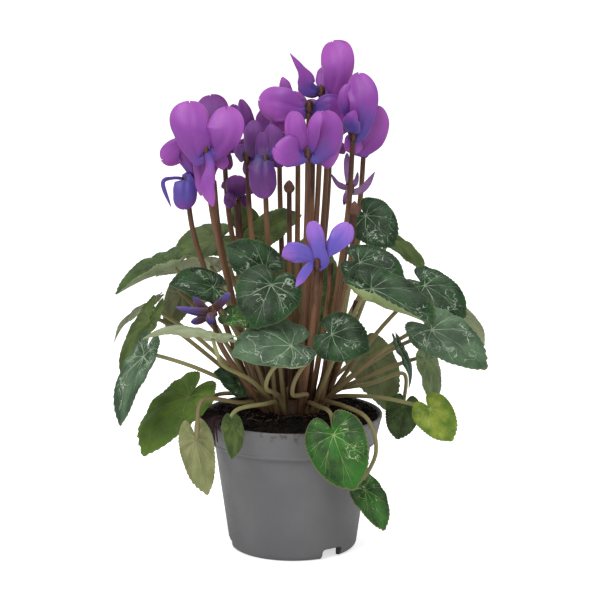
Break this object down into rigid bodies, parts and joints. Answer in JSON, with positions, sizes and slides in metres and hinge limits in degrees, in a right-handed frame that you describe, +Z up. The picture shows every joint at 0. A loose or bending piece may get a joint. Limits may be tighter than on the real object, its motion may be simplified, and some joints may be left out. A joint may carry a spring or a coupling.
{
  "type": "potted cyclamen",
  "caption": "Flowering mini cyclamen with marbled heart-shaped leaves and swept-back violet petals, growing in a round plastic nursery pot filled with soil; stands on any flat surface",
  "frame": {"origin": "centre of the pot's underside, on the surface that the pot stands on", "axes": "+Z up along the pot's axis, -Y toward the front of the plant (the side the picture shows), +X to the right"},
  "size_m": [0.2148, 0.1643, 0.2985],
  "materials": {
    "pot": "satin",
    "soil": "matte",
    "stalks": "satin",
    "dark_leaf": "satin",
    "bright_leaf": "satin",
    "olive_leaf": "matte",
    "pale_leaf": "matte",
    "petal": "satin",
    "blue_petal": "satin",
    "spent_petal": "matte",
    "bud": "matte"
  },
  "bodies": {
    "root": {"pot": "pot", "soil": "soil", "tuber_and_stalks": "stalks", "leaf_back_left": "bright_leaf", "leaf_left_arm": "dark_leaf", "leaf_left_pale": "pale_leaf", "leaf_left_dark": "dark_leaf", "leaf_left_droop": "dark_leaf", "leaf_left_hang": "olive_leaf", "leaf_left_small": "olive_leaf", "leaf_left_low": "dark_leaf", "leaf_left_flat": "pale_leaf", "leaf_mid_upper": "dark_leaf", "leaf_mid_lower": "dark_leaf", "leaf_mid_bright": "bright_leaf", "leaf_back_olive": "olive_leaf", "leaf_back_curl": "olive_leaf", "leaf_right_top": "dark_leaf", "leaf_right_rear": "bright_leaf", "leaf_right_inner": "dark_leaf", "leaf_right_big": "dark_leaf", "leaf_right_outer": "dark_leaf", "leaf_right_far": "dark_leaf", "leaf_right_pale": "pale_leaf", "leaf_right_hang": "olive_leaf", "leaf_right_bright": "bright_leaf", "leaf_right_shade": "dark_leaf", "leaf_front_left": "dark_leaf", "leaf_front_right": "dark_leaf", "leaf_front_low": "bright_leaf", "leaf_front_folded": "olive_leaf", "leaf_low_left": "bright_leaf", "leaf_low_left_hang": "pale_leaf", "leaf_right_edge": "dark_leaf", "leaf_inner_dark": "dark_leaf", "leaf_low_right_trail": "bright_leaf", "leaf_inner_left": "dark_leaf", "leaf_rear_left": "dark_leaf", "leaf_rear_mid": "dark_leaf", "leaf_rear_right": "dark_leaf", "leaf_rear_low": "dark_leaf", "bloom_left_front": "petal", "bloom_left_side": "petal", "bloom_left_back": "petal", "bloom_mid_left": "petal", "bloom_mid": "petal", "bloom_centre_back": "petal", "bloom_centre_front": "petal", "bloom_top": "petal", "bloom_back": "petal", "bloom_right": "petal", "bloom_right_back": "petal", "bloom_mid_low": "petal", "bloom_far_left": "petal", "bloom_far_right": "petal", "bloom_small_front": "blue_petal", "bloom_spent_left": "blue_petal", "bloom_star": "spent_petal", "bud_right": "bud", "bud_dark": "bud"}
  },
  "joints": []
}
